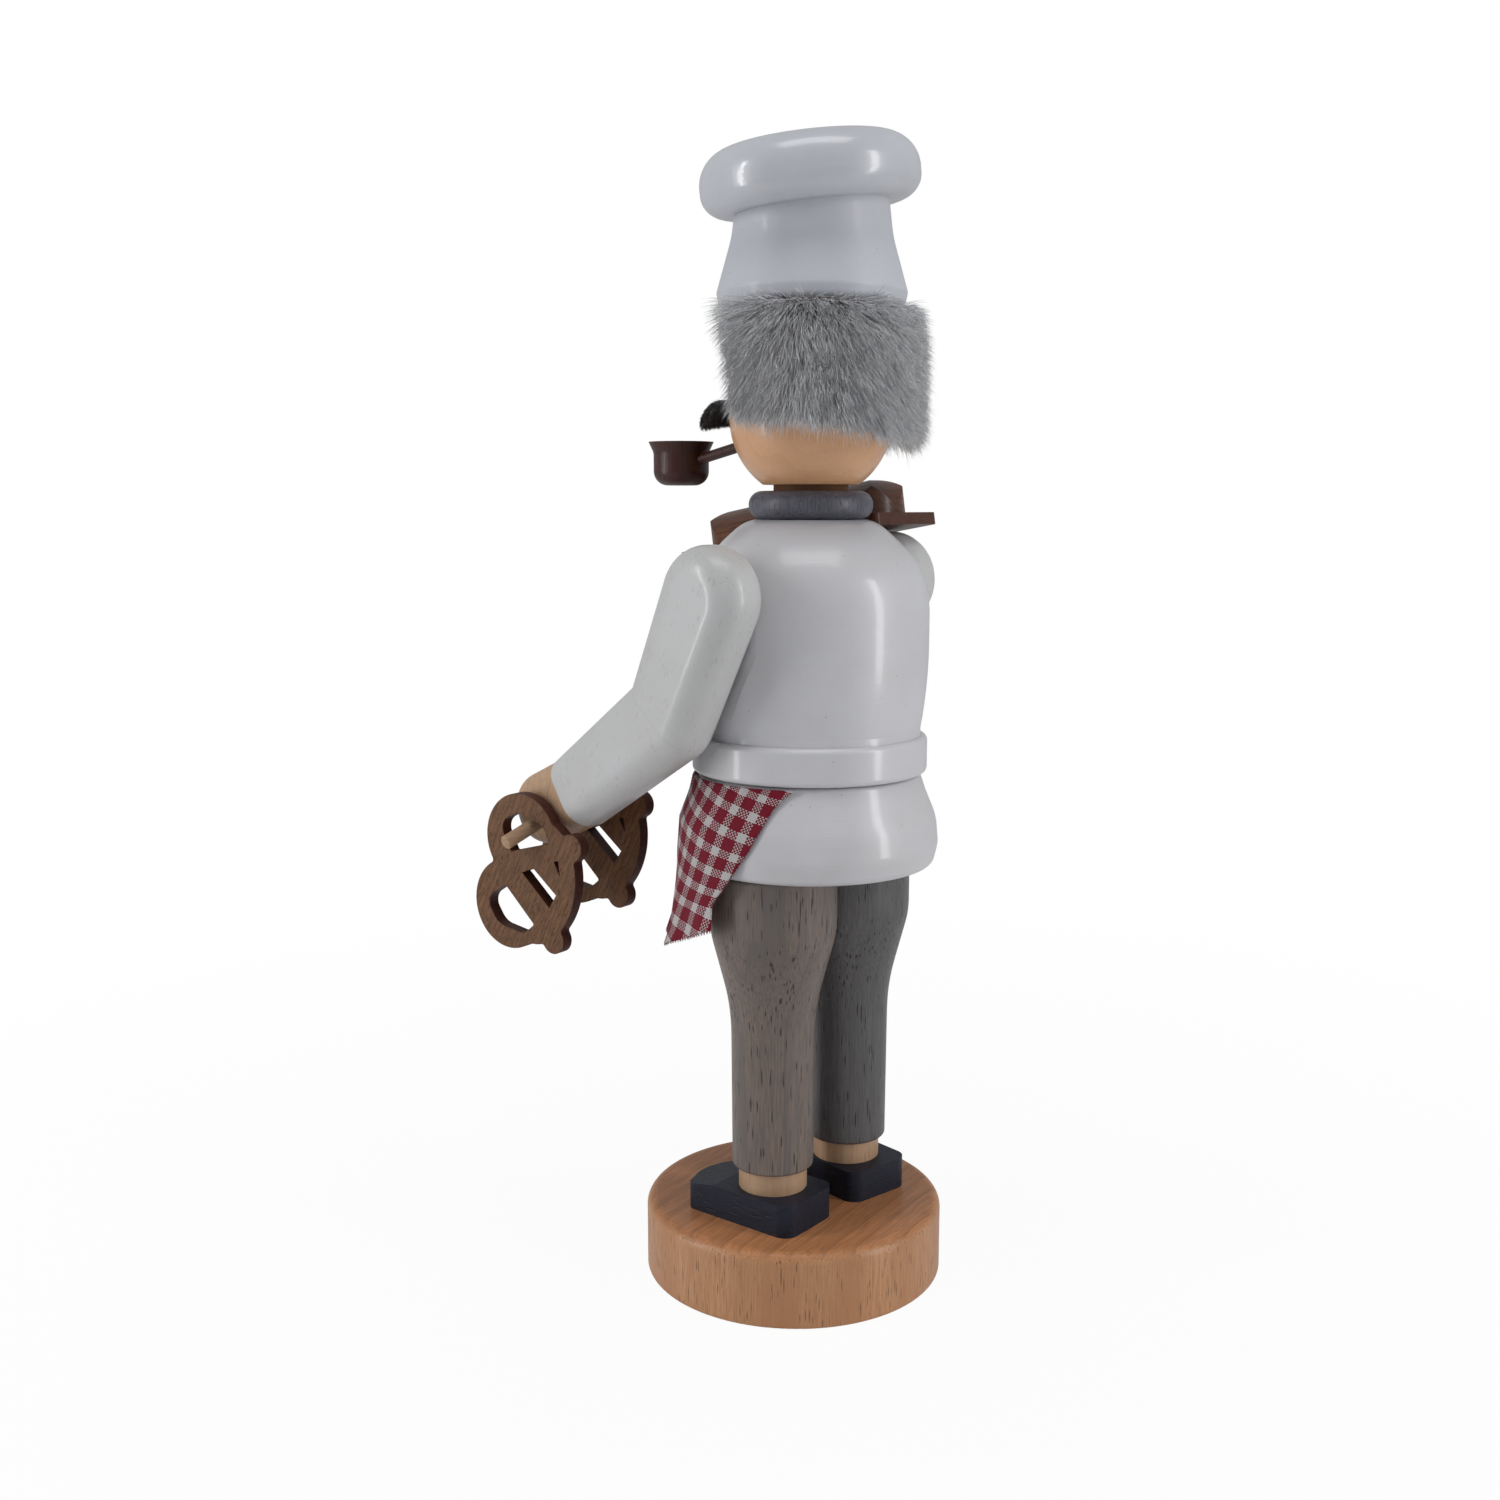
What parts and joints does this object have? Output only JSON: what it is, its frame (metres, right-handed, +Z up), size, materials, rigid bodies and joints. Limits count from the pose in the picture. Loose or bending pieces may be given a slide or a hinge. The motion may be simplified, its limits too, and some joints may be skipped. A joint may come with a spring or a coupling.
{
  "type": "incense smoker figure",
  "caption": "Turned wooden baker that smokes incense: the jacket lifts off at the waist over an incense plate, smoke leaves by the mouth, and wooden pretzels swing on a rod in the hand.",
  "frame": {"origin": "centre of the underside of the round base", "axes": "+Z up, -Y is where the face looks, +X is the figure's left"},
  "size_m": [0.093, 0.099, 0.2671],
  "materials": {
    "lacquered_beech": "natural beech under clear semi-gloss lacquer",
    "black_stain": "blue-black stained beech, satin",
    "pale_wood": "pale natural wood, satin lacquer",
    "plain_wood": "plain unfinished dowel",
    "grey_stain": "warm grey stained beech with dark pores, satin",
    "white_paint": "white semi-gloss paint on turned wood",
    "sleeve_paint": "thin white satin paint, the grain shows",
    "collar_stain": "blue-grey stained turned wood, semi-gloss",
    "plate_metal": "pressed sheet, dull",
    "tack_metal": "round-headed tack",
    "apron_check": "woven dark red and white check",
    "button_paint": "black gloss paint",
    "face_paint": "black paint",
    "moustache_fur": "black felted fibre",
    "hair_pile": "grey long pile fur on a backing",
    "pipe_stain": "dark brown stained wood, semi-gloss",
    "pretzel_brown": "brown stained sawn wood, edges singed",
    "board_brown": "dark brown stained wood, satin",
    "crust_brown": "brown stained wood, satin"
  },
  "bodies": {
    "stand": {"base_disc": "lacquered_beech", "shoe_left": "black_stain", "shoe_right": "black_stain", "ankle_left": "pale_wood", "ankle_right": "pale_wood", "leg_left": "grey_stain", "leg_right": "grey_stain", "jacket_skirt": "white_paint", "incense_plate": "plate_metal", "plate_tack": "tack_metal", "apron": "apron_check"},
    "figure_top": {"torso": "white_paint", "jacket_buttons": "button_paint", "collar": "collar_stain", "neck_sleeve": "plain_wood", "head": "pale_wood", "nose": "pale_wood", "eyes": "face_paint", "eyebrows": "face_paint", "moustache": "moustache_fur", "hair_fur": "hair_pile", "hat_band": "white_paint", "hat_crown": "white_paint", "hat_dowel": "plain_wood", "pipe_stem": "pipe_stain", "pipe_bowl": "pipe_stain", "upper_arm_left": "sleeve_paint", "forearm_left": "sleeve_paint", "hand_left": "pale_wood", "upper_arm_right": "sleeve_paint", "forearm_right": "sleeve_paint", "hand_right": "pale_wood", "shoulder_dowels": "plain_wood", "elbow_dowels": "plain_wood", "wrist_dowels": "plain_wood", "pretzel_rod": "pale_wood", "bread_board": "board_brown", "board_pins": "plain_wood", "loaf": "crust_brown"},
    "pretzel_outer": {"pretzel_outer": "pretzel_brown"},
    "pretzel_inner": {"pretzel_inner": "pretzel_brown"}
  },
  "joints": [
    {"name": "upper_lift", "type": "slide", "parent": "stand", "child": "figure_top", "axis": [0, 0, 1], "range_m": [0, 0.06]},
    {"name": "pretzel_outer_swing", "type": "hinge", "parent": "figure_top", "child": "pretzel_outer", "pos_m": [0.0435, -0.04583, 0.10926], "axis": [1, 0, 0], "range_deg": [-25, 15]},
    {"name": "pretzel_inner_swing", "type": "hinge", "parent": "figure_top", "child": "pretzel_inner", "pos_m": [0.0228, -0.04583, 0.11679], "axis": [1, 0, 0], "range_deg": [-25, 25]}
  ]
}
